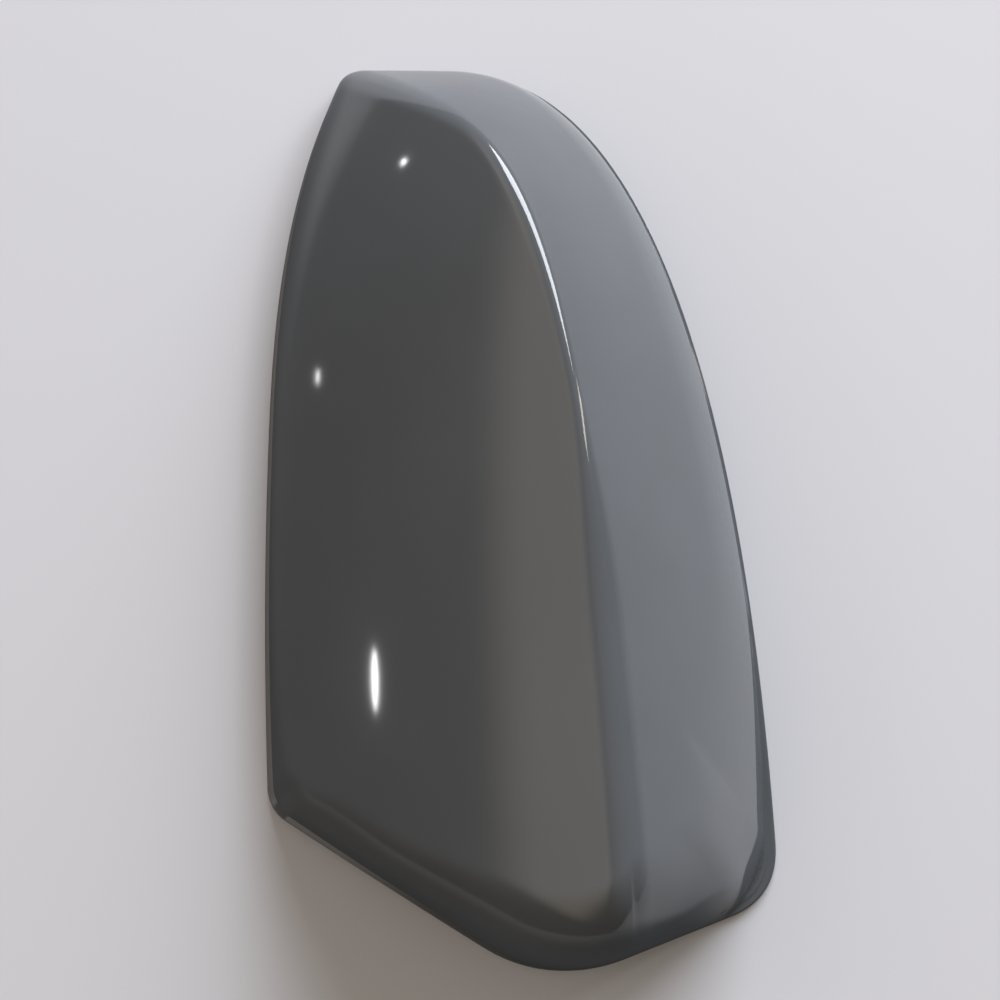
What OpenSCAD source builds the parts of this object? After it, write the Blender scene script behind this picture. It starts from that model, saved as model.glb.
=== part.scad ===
// Wing mirror cover: one injection-moulded and painted shell that snaps over a mirror housing.
// It lies on its rim with the open side down. +X is the upper edge of the fitted mirror,
// +Y is its outboard tip and +Z is the way the front face looks.

/* [Outline] */
// Overall length, from the nose by the mirror foot to the outboard tip
body_l = 239; // [220:1:255]
// Overall width across both rails
body_w = 130; // [121:1:139]
// How far the lower rail has come in where it reaches the tip
tip_taper = 17.5; // [10:0.5:24]
// How far the lower rail has come in where it reaches the nose
nose_taper = 6; // [2:0.5:10]
// Level at which the lower rail stands out furthest
widest_y = 4; // [-20:1:30]
// Where the flat top of the tip turns into the upper rail
tip_flat_x = -19.5; // [-30:0.5:-10]
// Level at which the upper rail runs straight along the cover
upper_straight_y = -150; // [-165:1:-135]
// Squareness of the upper rail's curve, where 2 is an ellipse
upper_power = 2.4; // [2.2:0.05:2.6]
// Sideways place of the nose, the corner between the foot cut and the inboard end
nose_x = 9.5; // [0:0.5:16]
// Angle of the slanting cut that clears the mirror foot
foot_deg = 31.5; // [24:0.5:40]
// Angle of the inboard end
end_deg = 21; // [14:0.5:28]

/* [Corners in plan] */
// Set-back of the rounding at the tip
tip_corner = 5; // [3:0.5:10]
// Set-back of the rounding where the lower rail meets the foot cut
foot_corner = 5; // [4:0.5:14]
// Set-back of the rounding at the nose
nose_corner = 19; // [10:1:26]
// Set-back of the rounding at the upper inboard corner
end_corner = 13; // [10:1:20]

/* [Front face] */
// Height of the front face above the rim along the lower rail
front_h = 5; // [3:0.5:9]
// Slope of the front face at the lower rail
front_deg = 47; // [40:0.5:52]
// Radius of the front face's crown
front_crown = 124; // [110:1:180]

/* [Upper face] */
// Height at which the upper face would meet the rail
upper_h = 5.5; // [4.5:0.5:8]
// Slope of the upper face at the rail, at the tip
upper_tip_deg = 55; // [52:0.5:58]
// Slope of the upper face at the rail, at the inboard end
upper_end_deg = 62; // [59:0.5:64]
// Radius of the upper face's crown
upper_crown = 46; // [42:1:60]
// Distance over which the upper face is crowned, before it runs on straight
upper_reach = 60; // [45:1:70]

/* [Crease] */
// Rounding of the crease where it is crisp
crease_crisp = 1.2; // [0.6:0.1:3]
// Rounding of the crease towards the inboard end
crease_soft = 11; // [4:0.5:16]
// Rounding of the crease at the tip
crease_tip = 5; // [2:0.5:9]
// Level below which the crease starts to soften
crisp_low_y = 15; // [-20:1:40]
// Level above which the crease softens towards the tip
crisp_high_y = 78; // [60:1:95]
// Length over which the crease changes
crease_fade = 55; // [30:1:80]

/* [Rim wall] */
// Wall thickness of the moulding
wall = 2.5; // [1.8:0.1:3.2]
// Draft of the rim wall along the lower rail
draft_lower = 12; // [8:1:20]
// Draft of the rim wall at the foot corner
draft_foot = 32; // [20:1:36]
// Draft of the rim wall along the foot cut
draft_cut = 16; // [10:1:22]
// Draft of the rim wall at the inboard end
draft_end = 13; // [8:1:18]
// Draft of the rim wall along the upper rail
draft_upper = 19; // [12:1:22]
// Draft of the rim wall round the tip
draft_tip = 9; // [7:1:14]
// Rounding between the rim wall and the front face at the lower rail
roll_lower = 2.5; // [1:0.5:4]
// Rounding between the rim wall and the faces above it round the tip
roll_tip = 4; // [2:0.5:5]
// Rounding between the rim wall and the face above it at the inboard end
roll_end = 12; // [6:0.5:16]
// Rounding between the rim wall and the face above it along the upper rail
roll_upper = 3; // [1.5:0.5:5]
// How far the rim is arched up along the foot cut
foot_rise = 8; // [2:0.5:12]
// How far the edge bead stands out of the wall
bead_out = 0.8; // [0.4:0.1:1.2]
// Height of the edge bead
bead_h = 1.4; // [0.8:0.1:2]
// Thickness of the thinned edge that laps over the housing
edge_t = 1.5; // [1.2:0.1:1.7]
// Height of the thinned edge
edge_h = 2.2; // [1.5:0.1:3]

/* [Snap hooks] */
// Distance of the snap hooks in from the rim
hook_in = 8; // [7:0.5:10]
// Width of a snap hook along the rim
hook_w = 11; // [8:0.5:14]
// Thickness of a snap hook's tab
hook_t = 1.8; // [1.4:0.1:2.4]
// How far the barb stands off the tab
barb_out = 1.6; // [1:0.1:2.2]
// Height of the barb
barb_h = 2.6; // [2:0.1:3.4]
// Height of a hook's end above the rim
hook_low = 2.5; // [1.5:0.5:5]

/* [Ribs and pins] */
// Thickness of the webs and ribs
rib_t = 1.4; // [1.2:0.1:1.8]
// Height of the ribs that cross the inside of the front face
rib_h = 5; // [3:0.5:7]
// Diameter of the locating pins
pin_d = 5; // [4:0.5:6]
// Free length of a locating pin, below its webs
pin_l = 9; // [6:0.5:10]
// Height of the boss that carries a locating pin, from its webs' lower edge to the skin
pin_root = 7; // [6:0.5:8]
// How far the boss stands out round its pin
pin_boss = 1; // [0.8:0.1:1.4]
// Width of the cross webs that carry a pin
pin_web = 13; // [10:0.5:16]
// Distance of the pins in from the lower rail
pin_in = 38; // [30:1:42]
// Distance of the outboard pin from the tip
pin_from_tip = 58; // [50:1:64]
// Distance of the inboard pin from the nose
pin_from_nose = 67; // [60:1:74]
// Distance from one rib to the next
rib_pitch = 40; // [36:1:42]
// Distance of a rib's ends from the lower rail and from the crease
rib_gap = 15; // [12:1:24]

/* [Hidden] */
$fn = 48;

x_left = -body_w / 2 + bead_out;
y_top = body_l / 2;

// Steps along each stretch of the rim. Both halves have the same number.
n_tip = 3;
n_lower = 20;
n_foot = 6;
n_cut = 8;
n_nose = 7;
n_top = 3;
n_upper = 23;
n_corner = 7;
n_end = 6;
n_end_nose = 2;
n_half = n_tip + n_lower + n_foot + n_cut + n_nose;
n_rim = 2 * n_half;

// Height over which the bead runs back into the wall
bead_step = 0.5;

// Rows of the net between the rim and the crease, outside and inside
rows_out = 18;
rows_in = 12;

// Distances of the crease's two ends from the rim
crease_gap_tip = 7;
crease_gap_nose = 31;

function mix(a, b, t) = a + (b - a) * t;
function clamp01(t) = max(0, min(1, t));
function smooth01(t) = let(c = clamp01(t)) c * c * (3 - 2 * c);
function bezier2(a, b, c, t) = mix(mix(a, b, t), mix(b, c, t), t);

// The nose, set so that its rounding just reaches the cover's lowest level
nose_drop = nose_corner * sin(foot_deg) * sin(end_deg) / (sin(foot_deg) + sin(end_deg));
nose_pt = [nose_x, -y_top - nose_drop];

// The upper rail is part of a superellipse that is as wide as the cover just above the end corner
function upper_v(y) = max(0, (y - upper_straight_y) / (y_top - upper_straight_y));
function upper_share(y) = pow(max(0, 1 - pow(upper_v(y), upper_power)), 1 / upper_power);
widest_upper_y = nose_pt.y + tan(end_deg) * (body_w / 2 - nose_x) + end_corner;
x_right = tip_flat_x + (body_w / 2 - tip_flat_x) / upper_share(widest_upper_y);

// Left and right bounds of the cover at a level. The lower rail comes in late, close to the tip.
taper_power = 2.8;
function lower_x(y) =
    y > widest_y
        ? x_left + tip_taper * pow((y - widest_y) / (y_top - widest_y), taper_power)
        : x_left + nose_taper * pow((widest_y - y) / (widest_y + y_top), 2);
function upper_x(y) = tip_flat_x + (x_right - tip_flat_x) * upper_share(y);

// The sharp corners of the outline
function foot_y(k) = nose_pt.y + tan(foot_deg) * (nose_x - (k == 0 ? x_left : lower_x(foot_y(k - 1))));
foot_pt = [lower_x(foot_y(4)), foot_y(4)];
function end_y(k) = nose_pt.y + tan(end_deg) * ((k == 0 ? x_right : upper_x(end_y(k - 1))) - nose_x);
end_pt = [upper_x(end_y(4)), end_y(4)];
tip_pt = [lower_x(y_top), y_top];

// Where the roundings start
tip_a = [lower_x(y_top - tip_corner), y_top - tip_corner];
tip_b = tip_pt + [tip_corner, 0];
foot_a = [lower_x(foot_pt.y + foot_corner), foot_pt.y + foot_corner];
foot_b = foot_pt + foot_corner * [cos(foot_deg), -sin(foot_deg)];
nose_a = nose_pt + nose_corner * [-cos(foot_deg), sin(foot_deg)];
nose_b = nose_pt + nose_corner * [cos(end_deg), sin(end_deg)];
end_a = end_pt - end_corner * [cos(end_deg), sin(end_deg)];
end_b = [upper_x(end_pt.y + end_corner), end_pt.y + end_corner];

// Points along the curved part of the upper rail, by the angle of its superellipse
function upper_at(a) = [
    tip_flat_x + (x_right - tip_flat_x) * pow(cos(a), 2 / upper_power),
    upper_straight_y + (y_top - upper_straight_y) * pow(sin(a), 2 / upper_power)
];
end_a_deg = asin(pow(upper_v(end_b.y), upper_power / 2));

// The line of the crease carried on to the nose splits the rim into its two halves
crease_top = y_top - crease_gap_tip;
crease_low = -y_top + crease_gap_nose;
function crease_at_y(y) = crease_x(y, lower_x(y), upper_x(y), 16);
split_x = crease_at_y(crease_low) + (crease_at_y(crease_low) - crease_at_y(crease_low + crease_gap_nose));
function nose_t(a, b, k) =
    let(m = (a + b) / 2)
    k == 0 ? m : bezier2(nose_a, nose_pt, nose_b, m).x < split_x ? nose_t(m, b, k - 1) : nose_t(a, m, k - 1);
split_t = nose_t(0.1, 0.95, 12);

// The rim from the tip to the nose along the lower rail, and again along the upper rail
lower_half = concat(
    [for (i = [0:n_tip - 1]) bezier2(tip_b, tip_pt, tip_a, 0.5 + 0.5 * i / n_tip)],
    [for (i = [0:n_lower - 1]) let(y = mix(tip_a.y, foot_a.y, i / n_lower)) [lower_x(y), y]],
    [for (i = [0:n_foot - 1]) bezier2(foot_a, foot_pt, foot_b, i / n_foot)],
    [for (i = [0:n_cut - 1]) mix(foot_b, nose_a, i / n_cut)],
    [for (i = [0:n_nose]) bezier2(nose_a, nose_pt, nose_b, split_t * i / n_nose)]
);
upper_half = concat(
    [for (i = [0:n_tip - 1]) bezier2(tip_a, tip_pt, tip_b, 0.5 + 0.5 * i / n_tip)],
    [for (i = [0:n_top - 1]) [mix(tip_b.x, tip_flat_x, i / n_top), y_top]],
    [for (i = [0:n_upper - 1]) upper_at(mix(90, end_a_deg, i / n_upper))],
    [for (i = [0:n_corner - 1]) bezier2(end_b, end_pt, end_a, i / n_corner)],
    [for (i = [0:n_end - 1]) mix(end_a, nose_b, i / n_end)],
    [for (i = [0:n_end_nose]) bezier2(nose_b, nose_pt, nose_a, (1 - split_t) * i / n_end_nose)]
);
rim = concat(lower_half, [for (i = [1:n_half - 1]) upper_half[n_half - i]]);

function unit(v) = v / norm(v);
function inward(i) =
    let(d = unit(rim[(i + 1) % n_rim] - rim[(i + n_rim - 1) % n_rim]))
    [-d.y, d.x];
rim_n = [for (i = [0:n_rim - 1]) inward(i)];

// What changes along the rim, by the number of the step
at_foot = n_tip + n_lower + n_foot / 2;
at_cut = at_foot + (n_half - at_foot) / 2;
at_corner = n_half + n_end_nose + n_end + n_corner / 2;
at_upper = at_corner + n_corner;
at_shoulder = n_rim - n_tip - n_top - 5;
function draft(i) = lookup(i, [
    [0, draft_tip], [n_tip + 3, draft_lower], [at_foot - 12, draft_lower], [at_foot, draft_foot],
    [at_foot + 6, draft_cut], [n_half, draft_end], [at_corner, draft_end], [at_upper, draft_upper],
    [at_shoulder, draft_upper], [n_rim - n_tip - n_top, draft_tip], [n_rim, draft_tip]
]);
function roll(i) = lookup(i, [
    [0, roll_tip], [n_tip + 3, roll_lower], [at_foot, roll_lower], [at_cut, roll_end / 2],
    [n_half, roll_end], [at_corner, roll_end], [at_upper, roll_upper], [n_rim - 8, roll_upper],
    [n_rim, roll_tip]
]);
function bead(i) = bead_out * lookup(i, [
    [0, 0], [n_tip + 2, 1], [n_half - n_nose, 1], [n_half - n_nose + 4, 0], [n_rim, 0]
]);
function rim_z(i) =
    foot_rise * (1 - cos(360 * clamp01((i - at_foot + 2) / (n_half - at_foot + 2)))) / 2;

// A face that starts at a slope, is crowned over a reach and then runs on straight: [height, slope]
function crowned(d, slope, radius, reach) =
    let(c = min(d, reach))
    [slope * d - c * c / (2 * radius) - (d - c) * c / radius, slope - c / radius];
function front_face(p) = crowned(p.x - lower_x(p.y), tan(front_deg), front_crown, body_w);

// Distance from the upper rail, to the first order
function upper_d(p) =
    let(a = x_right - tip_flat_x, b = y_top - upper_straight_y)
    let(u = max(0, p.x - tip_flat_x) / a, v = max(0, p.y - upper_straight_y) / b)
    let(q = upper_power, g = pow(pow(u, q) + pow(v, q), 1 / q))
    g < 0.01
        ? 0.99 * min(a, b)
        : (1 - g) * pow(g, q - 1) / norm([pow(u, q - 1) / a, pow(v, q - 1) / b]);
function upper_slope(y) = mix(tan(upper_end_deg), tan(upper_tip_deg), clamp01((y + y_top) / (2 * y_top)));
function upper_face(p) = crowned(upper_d(p), upper_slope(p.y), upper_crown, upper_reach);

// Lower of two surfaces with the edge between them rounded: heights a and b, and their normals' rise
function soft_min(a, na, b, nb, r) =
    let(pa = r - na * a, pb = r - nb * b)
    let(qa = na * na + nb * nb, qb = 2 * (na * pa + nb * pb), qc = pa * pa + pb * pb - r * r)
    b <= a - r / na ? b : a <= b - r / nb ? a : (-qb + sqrt(max(0, qb * qb - 4 * qa * qc))) / (2 * qa);

function crease_r(y) =
    crease_crisp
    + (crease_soft - crease_crisp) * smooth01((crisp_low_y - y) / crease_fade)
    + (crease_tip - crease_crisp) * smooth01((y - crisp_high_y) / (y_top - crisp_high_y));

// Height of the two big faces at a point, lowered by a skin's thickness: [height, normal's rise]
function roof(p, skin) =
    let(f = front_face(p), u = upper_face(p))
    let(nf = 1 / norm([1, f[1]]), nu = 1 / norm([1, u[1]]))
    let(zf = front_h + f[0] - skin / nf, zu = upper_h + u[0] - skin / nu)
    let(r = max(0.5, crease_r(p.y) - skin / 2))
    let(w = smooth01(0.5 + (zu - zf) / 16))
    [soft_min(zf, nf, zu, nu, r), mix(nu, nf, w)];

// The crease at a level: the place where both faces are equally high
function crease_x(y, a, b, k) =
    let(m = (a + b) / 2, p = [m, y])
    k == 0 ? m : front_h + front_face(p)[0] < upper_h + upper_face(p)[0]
        ? crease_x(y, m, b, k - 1)
        : crease_x(y, a, m, k - 1);
function crease_y(i) =
    let(m = (lower_half[i].y + upper_half[i].y) / 2, even = 1 - i / n_half)
    mix(crease_low, crease_top, mix(clamp01((m + y_top) / (2 * y_top)), even, 0.1));
crease = [for (i = [0:n_half]) [crease_at_y(crease_y(i)), crease_y(i)]];
function crease_at(i) = crease[i <= n_half ? i : n_rim - i];

// Height above the rim at which a skin starts: over the bead outside, over the thinned edge inside
function skin_foot(skin) = skin > 0 ? edge_h : bead_h + bead_step;

// Height of the rim wall's skin at a distance in from step i of the rim
function wall_z(i, d, skin) = let(c = draft(i)) rim_z(i) + d / tan(c) - skin / sin(c);

// Height of the whole skin at a point that belongs to step i of the rim
function skin_z(i, p, skin) =
    let(r = roof(p, skin), zw = wall_z(i, (p - rim[i]) * rim_n[i], skin))
    max(rim_z(i) + skin_foot(skin), soft_min(r[0], r[1], zw, sin(draft(i)), max(0.8, roll(i) - skin)));

// Each step of the rim has a line from the rim to the crease, and a point on it is a fraction of the way
function ray_start(i, skin) =
    rim[i] + (skin / cos(draft(i)) + skin_foot(skin) * tan(draft(i))) * rim_n[i];
function ray_point(i, t, skin) = mix(ray_start(i, skin), crease_at(i), t);

// Fraction at which the rim wall has risen to the roof
function shoulder(i, skin, a, b, k) =
    let(m = (a + b) / 2, p = ray_point(i, m, skin))
    k == 0 ? m : wall_z(i, (p - rim[i]) * rim_n[i], skin) < roof(p, skin)[0]
        ? shoulder(i, skin, m, b, k - 1)
        : shoulder(i, skin, a, m, k - 1);
shoulder_out = [for (i = [0:n_rim - 1]) shoulder(i, 0, 0.01, 0.9, 14)];
shoulder_in = [for (i = [0:n_rim - 1]) shoulder(i, wall, 0.01, 0.9, 14)];

// The rows lie closest together at the shoulder and at the crease
low_share = 0.4;
long_ray = 60;
function spread(u, s, length) =
    let(v = (u - low_share) / (1 - low_share))
    v < 0
        ? s * (1 - pow(1 - u / low_share, 1.5))
        : s + (1 - s) * mix(v, (1 - cos(180 * v)) / 2, clamp01(length / long_ray));
function skin_row(u, skin, shoulders) = [
    for (i = [0:n_rim - 1])
        let(length = norm(crease_at(i) - ray_start(i, skin)))
        let(p = ray_point(i, spread(u, shoulders[i], length), skin))
        [p.x, p.y, skin_z(i, p, skin)]
];

// One point of the rim's section: distance in from the rim, and height above its foot
function rim_point(i, d, h) = let(p = rim[i] + d * rim_n[i]) [p.x, p.y, rim_z(i) + h];

// The whole shell as one stack of closed rows, from the crease outside to the crease inside
rows = concat(
    [for (k = [1:rows_out - 1]) skin_row(1 - k / rows_out, 0, shoulder_out)],
    [[for (i = [0:n_rim - 1]) rim_point(i, (bead_h + bead_step) * tan(draft(i)), bead_h + bead_step)]],
    [[for (i = [0:n_rim - 1]) rim_point(i, -bead(i), bead_h)]],
    [[for (i = [0:n_rim - 1]) rim_point(i, -bead(i), 0)]],
    [[for (i = [0:n_rim - 1]) rim_point(i, edge_t, 0)]],
    [[for (i = [0:n_rim - 1]) rim_point(i, edge_t + edge_h * tan(draft(i)), edge_h)]],
    [for (k = [1:rows_in - 1]) skin_row(k / rows_in, wall, shoulder_in)]
);
n_rows = len(rows);
ridge_out = [for (i = [0:n_half]) [crease[i].x, crease[i].y, skin_z(i, crease[i], 0)]];
ridge_in = [for (i = [0:n_half]) [crease[i].x, crease[i].y, skin_z(i, crease[i], wall)]];
shell_points = concat([for (r = rows) each r], ridge_out, ridge_in);

function at(k, i) = k * n_rim + i % n_rim;
function ridge(i) = i <= n_half ? i : n_rim - i;
at_ridge_out = n_rows * n_rim;
at_ridge_in = at_ridge_out + n_half + 1;
shell_faces = concat(
    [for (k = [0:n_rows - 2], i = [0:n_rim - 1]) each [
        [at(k, i), at(k, i + 1), at(k + 1, i + 1)],
        [at(k, i), at(k + 1, i + 1), at(k + 1, i)]
    ]],
    [for (i = [0:n_rim - 1])
        let(a = at_ridge_out + ridge(i), b = at_ridge_out + ridge(i + 1), c = at(0, i + 1), d = at(0, i))
        each [[a, b, c], [a, c, d]]],
    [for (i = [0:n_rim - 1])
        let(a = at_ridge_in + ridge(i), b = at_ridge_in + ridge(i + 1))
        let(c = at(n_rows - 1, i + 1), d = at(n_rows - 1, i))
        each [[b, a, d], [b, d, c]]]
);

module shell() {
    polyhedron(points = shell_points, faces = shell_faces);
}

// A flat web under the skin: it stands on a line through p at an angle, from a to b along that line.
// Its upper edge lies in the middle of the skin, and its lower edge is level or follows the skin.
web_steps = 8;
function heading(angle) = [cos(angle), sin(angle)];
function nearest(p) = let(d = [for (q = rim) norm(q - p)]) search(min(d), d)[0];
function skin_at(p, i) = skin_z(i, p, wall / 2);
function web_edge(p, angle, a, b, i) = [
    for (k = [0:web_steps])
        let(s = mix(a, b, k / web_steps))
        [s, skin_at(p + s * heading(angle), i < 0 ? nearest(p + s * heading(angle)) : i)]
];
module web_plane(p, angle, t)
    translate([p.x, p.y, 0])
    rotate([90, 0, angle])
    linear_extrude(t, center = true)
    children();
module web(p, angle, a, b, low, t, i = -1) {
    edge = web_edge(p, angle, a, b, i);
    web_plane(p, angle, t)
    polygon(concat([[b, low], [a, low]], edge));
}
module rib(p, angle, a, b) {
    edge = web_edge(p, angle, a, b, -1);
    web_plane(p, angle, rib_t)
    polygon(concat(edge, [for (k = [web_steps:-1:0]) edge[k] - [0, rib_h]]));
}

// A tab with a barb, carried by two webs that stand on the rim wall
function rim_side(i, d, s) = rim[i] + d * rim_n[i] + s * [-rim_n[i].y, rim_n[i].x];
function skin_d(i, z, a, b, k) =
    let(m = (a + b) / 2)
    k == 0 ? b : skin_at(rim_side(i, m, 0), i) < z ? skin_d(i, z, m, b, k - 1) : skin_d(i, z, a, m, k - 1);
function hook_top(i, d) = min([for (k = [-1:1]) skin_at(rim_side(i, d, k * hook_w / 2), i)]);
module snap_hook(i) {
    angle = atan2(rim_n[i].y, rim_n[i].x);
    low = rim_z(i) + hook_low;
    face = hook_in + hook_t;
    web_low = low + barb_h + hook_t;
    web_plane(rim[i], angle, hook_w)
    polygon([
        [hook_in, hook_top(i, hook_in)],
        [hook_in, low],
        [hook_in + hook_t / 2, low],
        [face + barb_out, low + barb_h],
        [face, low + barb_h + barb_out / 2],
        [face, hook_top(i, face)]
    ]);
    for (side = [-1, 1])
        web(rim_side(i, 0, side * (hook_w - rib_t) / 2), angle, skin_d(i, web_low, 0, hook_in, 12), face,
            web_low, rib_t, i);
}

// A round pin on a boss with crossed webs, pointing out of the open side
module locating_pin(p) {
    top = skin_z(nearest(p), p, wall);
    web_low = top - pin_root;
    translate([p.x, p.y, web_low - pin_l])
    cylinder(d = pin_d, h = pin_l + pin_root / 2);
    translate([p.x, p.y, web_low])
    cylinder(d = pin_d + 2 * pin_boss, h = pin_root);
    for (angle = [0, 90])
        web(p, angle, -pin_web / 2, pin_web / 2, web_low, rib_t);
}

// Places of the features inside
function pin_at(y) = [lower_x(y) + pin_in, y];
pin_pts = [pin_at(y_top - pin_from_tip), pin_at(pin_from_nose - y_top)];
rib_levels = [for (k = [-1:1]) widest_y + k * rib_pitch];
hook_steps = [
    n_tip + 5, n_tip + 11, n_tip + 17, at_cut,
    n_rim - n_tip - n_top - 8, n_rim - n_tip - n_top - 14, n_rim - n_tip - n_top - n_upper + 3
];

module mirror_cover() {
    color("#7f868c")
    union() {
        shell();
        for (i = hook_steps)
            snap_hook(i);
        for (p = pin_pts)
            locating_pin(p);
        for (y = rib_levels)
            let(a = lower_x(y) + rib_gap, b = crease_at_y(y) - rib_gap)
            rib([a, y], 0, 0, b - a);
    }
}

mirror_cover();
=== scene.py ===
# %% [markdown]
# # Wing mirror cover
# The shell that snaps over the back of a car's wing mirror: one moulding, painted outside and
# raw inside. It lies on its rim with the open side down, and the camera looks down on it.
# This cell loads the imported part, which fixes the size that everything here has to keep.

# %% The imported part
import math

import bpy
import numpy as np
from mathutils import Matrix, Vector


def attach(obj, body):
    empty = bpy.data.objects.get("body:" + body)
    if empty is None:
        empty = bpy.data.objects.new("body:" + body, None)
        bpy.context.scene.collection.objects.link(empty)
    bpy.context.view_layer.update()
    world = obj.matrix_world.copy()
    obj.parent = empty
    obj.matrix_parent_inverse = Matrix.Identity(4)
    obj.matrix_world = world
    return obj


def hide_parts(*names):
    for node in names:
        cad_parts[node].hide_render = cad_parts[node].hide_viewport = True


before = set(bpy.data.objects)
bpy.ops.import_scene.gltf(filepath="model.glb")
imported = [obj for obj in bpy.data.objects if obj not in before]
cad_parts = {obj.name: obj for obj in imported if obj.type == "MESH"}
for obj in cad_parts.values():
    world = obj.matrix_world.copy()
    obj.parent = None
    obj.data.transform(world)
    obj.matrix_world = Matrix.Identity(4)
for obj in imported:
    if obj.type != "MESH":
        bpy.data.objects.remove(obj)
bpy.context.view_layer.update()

MM = 0.001

# %% [markdown]
# ## Camera
# The photograph was taken from about 0.4 m, almost straight above and a little from the lower
# side. A target, a tilt and a distance say that in three values, and the lens follows from the
# width of the view at the target. A Track To constraint would turn the camera as well, but it
# stays live, so here the turn is worked out once.

# %% Camera
VIEW_TARGET = (-3.95, -4.95, 19.4)
VIEW_TILT = 78
VIEW_DISTANCE = 405
VIEW_WIDTH = 250


def aim(item, eye, target):
    """Moves a camera or a lamp to a place in millimetres and turns it to look at another."""
    away = Vector(eye) - Vector(target)
    item.location = Vector(eye) * MM
    item.rotation_euler = away.to_track_quat("Z", "Y").to_euler()


camera = bpy.data.objects.new("camera", bpy.data.cameras.new("camera"))
bpy.context.scene.collection.objects.link(camera)
bpy.context.scene.camera = camera
tilt = math.radians(VIEW_TILT)
eye = Vector(VIEW_TARGET) + VIEW_DISTANCE * Vector((0, -math.cos(tilt), math.sin(tilt)))
aim(camera, eye, VIEW_TARGET)
camera.data.angle = 2 * math.atan(VIEW_WIDTH / 2 / VIEW_DISTANCE)
camera.data.clip_start = 0.01
print("camera at", [round(v, 1) for v in eye], "mm, lens", round(camera.data.lens, 1), "mm")

# %% [markdown]
# ## Writing node trees as sums
# Trees of Math nodes are hard to read. A small class wraps a socket, so that `a * b + 1` adds the
# two nodes that work it out. One method of a graph adds any other node. The same two classes
# serve the Geometry Nodes trees and the paint. Colours go through a Mix node, because a Math
# node would turn them grey.


# %% Graphs
class Value:
    """A socket of a node tree that can be added, multiplied and compared like a number."""

    def __init__(self, graph, socket):
        self.graph = graph
        self.socket = socket

    def math(self, operation, *values):
        return self.graph.add("ShaderNodeMath", {"operation": operation}, *values)

    def __add__(self, other):
        return self.math("ADD", self, other)

    def __radd__(self, other):
        return self.math("ADD", other, self)

    def __sub__(self, other):
        return self.math("SUBTRACT", self, other)

    def __rsub__(self, other):
        return self.math("SUBTRACT", other, self)

    def __mul__(self, other):
        return self.math("MULTIPLY", self, other)

    def __rmul__(self, other):
        return self.math("MULTIPLY", other, self)

    def __truediv__(self, other):
        return self.math("DIVIDE", self, other)

    def __rtruediv__(self, other):
        return self.math("DIVIDE", other, self)

    def __pow__(self, other):
        return self.math("POWER", self, other)


class Graph:
    """A node tree that is filled from Python."""

    def __init__(self, tree):
        self.tree = tree

    def add(self, kind, settings=None, *values, out=0, **named):
        """Adds a node, sets its settings first and its sockets after, and gives one output."""
        node = self.tree.nodes.new(kind)
        for name, setting in (settings or {}).items():
            setattr(node, name, setting)
        sockets = list(zip(node.inputs, values))
        sockets += [(node.inputs[name.replace("_", " ")], value) for name, value in named.items()]
        for socket, value in sockets:
            if isinstance(value, Value):
                self.tree.links.new(value.socket, socket)
            elif value is not None:
                socket.default_value = value
        return Value(self, node.outputs[out])


def lower_of(a, b):
    graph_value = a if isinstance(a, Value) else b
    return graph_value.math("MINIMUM", a, b) if isinstance(graph_value, Value) else np.minimum(a, b)


def higher_of(a, b):
    graph_value = a if isinstance(a, Value) else b
    return graph_value.math("MAXIMUM", a, b) if isinstance(graph_value, Value) else np.maximum(a, b)


def is_less(a, b):
    graph_value = a if isinstance(a, Value) else b
    return graph_value.math("LESS_THAN", a, b) if isinstance(graph_value, Value) else (a < b) * 1.0


def clamp01(t):
    return lower_of(higher_of(t, 0.0), 1.0)


def smooth01(t):
    c = clamp01(t)
    return c * c * (3 - 2 * c)


def mix(a, b, t):
    return a + (b - a) * t


def mixed(graph, a, b, factor):
    """A mix of two colours. The node's colour sockets have the numbers 6 and 7, and 2 goes out."""
    node = graph.add("ShaderNodeMix", {"data_type": "RGBA"}, out=2).socket.node
    for socket, value in ((node.inputs[0], factor), (node.inputs[6], a), (node.inputs[7], b)):
        if isinstance(value, Value):
            graph.tree.links.new(value.socket, socket)
        else:
            socket.default_value = value
    return Value(graph, node.outputs[2])


def dot(graph, vector, axis):
    """How far a vector reaches along an axis."""
    return graph.add("ShaderNodeVectorMath", {"operation": "DOT_PRODUCT"}, vector, axis, out="Value")


# %% [markdown]
# ## The sizes of the cover
# Every size below is one that a moulder would read off a drawing, in millimetres and degrees.
# Length, width, outline, wall, bead, edge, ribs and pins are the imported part's. The slopes,
# crowns, drafts and rolls of the faces were fitted once more to the photograph, so the skin
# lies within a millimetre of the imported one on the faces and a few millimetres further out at
# the top of the walls along the foot cut and the inboard end.

# %% Sizes of the cover
BODY_L = 239
BODY_W = 130
TIP_TAPER = 17.5
TIP_POWER = 2.8
NOSE_TAPER = 6
NOSE_POWER = 2
WIDEST_Y = 4
TIP_FLAT_X = -19.5
UPPER_STRAIGHT_Y = -150
UPPER_POWER = 2.4
NOSE_X = 9.5
FOOT_SLANT = math.radians(31.5)
END_SLANT = math.radians(21)
TIP_CORNER = 5
FOOT_CORNER = 5
NOSE_CORNER = 19
END_CORNER = 13

FRONT_H = 8
FRONT_RISE = math.tan(math.radians(43.5))
FRONT_CROWN = 160
UPPER_H = 5.5
UPPER_TIP_RISE = math.tan(math.radians(55))
UPPER_END_RISE = math.tan(math.radians(62.6))
UPPER_CROWN = 46
UPPER_REACH = 60

CREASE_CRISP = 1.8
CREASE_SOFT = 6
CREASE_TIP = 5
CRISP_LOW_Y = 15
CRISP_HIGH_Y = 78
CREASE_FADE = 55
CREASE_LEAST = 0.5
FACE_BLEND = 16

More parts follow.
